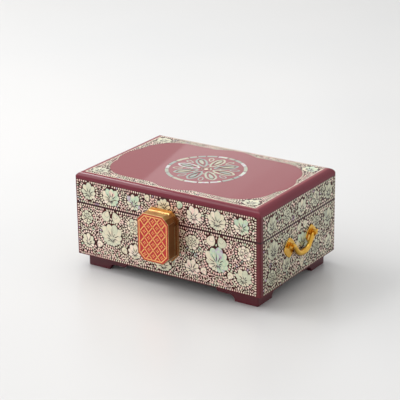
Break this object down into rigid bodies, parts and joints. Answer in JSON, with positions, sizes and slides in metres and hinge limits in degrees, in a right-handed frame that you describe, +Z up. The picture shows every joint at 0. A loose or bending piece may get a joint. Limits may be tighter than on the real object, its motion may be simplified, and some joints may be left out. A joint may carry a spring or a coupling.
{
  "type": "jewellery box",
  "caption": "Lacquered wooden box with a hinged lid, shell inlay sheets, bracket feet, a flip-up latch, bail handles at both ends and a lift-out tray.",
  "frame": {"origin": "on the floor under the middle of the overall length and depth, latch and hinges included", "axes": "+X to the right along the front, +Y from the latch to the hinges, +Z up"},
  "size_m": [0.32, 0.2318, 0.14],
  "materials": {
    "red_lacquer": "high gloss deep red lacquer",
    "foot_lacquer": "gloss dark maroon lacquer",
    "bottom_board": "dark lacquered board",
    "shell_inlay": "polished shell under clear lacquer",
    "velvet": "red velvet over board",
    "tray_wood": "satin red lacquer",
    "brass": "polished brass",
    "steel": "plated steel",
    "enamel": "red enamel with gold lines",
    "mirror_glass": "silvered glass"
  },
  "bodies": {
    "case": {"case_front": "red_lacquer", "case_back": "red_lacquer", "case_left": "red_lacquer", "case_right": "red_lacquer", "case_bottom": "bottom_board", "foot_front_left": "foot_lacquer", "foot_front_right": "foot_lacquer", "foot_back_left": "foot_lacquer", "foot_back_right": "foot_lacquer", "inlay_case_front": "shell_inlay", "inlay_case_back": "shell_inlay", "inlay_case_left": "shell_inlay", "inlay_case_right": "shell_inlay", "lining_floor": "velvet", "lining_front": "velvet", "lining_back": "velvet", "lining_left": "velvet", "lining_right": "velvet", "hinge_left_case_leaf": "brass", "hinge_right_case_leaf": "brass", "hinge_left_pin": "steel", "hinge_right_pin": "steel", "hinge_screws_case": "brass", "latch_plate_lower": "brass", "latch_keeper": "steel", "latch_screws_lower": "brass", "handle_left_plates": "brass", "handle_left_posts": "brass", "handle_left_nuts": "steel", "handle_right_plates": "brass", "handle_right_posts": "brass", "handle_right_nuts": "steel"},
    "lid": {"lid_front": "red_lacquer", "lid_back": "red_lacquer", "lid_left": "red_lacquer", "lid_right": "red_lacquer", "lid_top": "red_lacquer", "inlay_lid_front": "shell_inlay", "inlay_lid_back": "shell_inlay", "inlay_lid_left": "shell_inlay", "inlay_lid_right": "shell_inlay", "inlay_lid_top": "shell_inlay", "lid_emblem": "shell_inlay", "mirror": "mirror_glass", "mirror_frame": "velvet", "hinge_left_lid_leaf": "brass", "hinge_right_lid_leaf": "brass", "hinge_screws_lid": "brass", "latch_plate_upper": "brass", "latch_screws_upper": "brass", "latch_pin": "steel"},
    "latch_cover": {"latch_cover": "brass", "latch_face": "enamel", "latch_magnet": "steel"},
    "handle_left": {"handle_left_bail": "brass"},
    "handle_right": {"handle_right_bail": "brass"},
    "tray": {"tray_frame": "tray_wood", "tray_pad": "velvet", "tray_dividers": "velvet", "ring_rolls": "velvet"}
  },
  "joints": [
    {"name": "lid_hinge", "type": "hinge", "parent": "case", "child": "lid", "pos_m": [0, 0.10954, 0.096], "axis": [-1, 0, 0], "range_deg": [0, 95]},
    {"name": "latch_flip", "type": "hinge", "parent": "lid", "child": "latch_cover", "pos_m": [-0.004, -0.10161, 0.1105], "axis": [-1, 0, 0], "range_deg": [0, 98]},
    {"name": "handle_left_swing", "type": "hinge", "parent": "case", "child": "handle_left", "pos_m": [-0.1556, 0.00864, 0.0686], "axis": [0, 1, 0], "range_deg": [-2, 182]},
    {"name": "handle_right_swing", "type": "hinge", "parent": "case", "child": "handle_right", "pos_m": [0.1556, 0.00864, 0.0686], "axis": [0, -1, 0], "range_deg": [-2, 182]},
    {"name": "tray_lift", "type": "slide", "parent": "case", "child": "tray", "axis": [0, 0, 1], "range_m": [0, 0.028]}
  ]
}
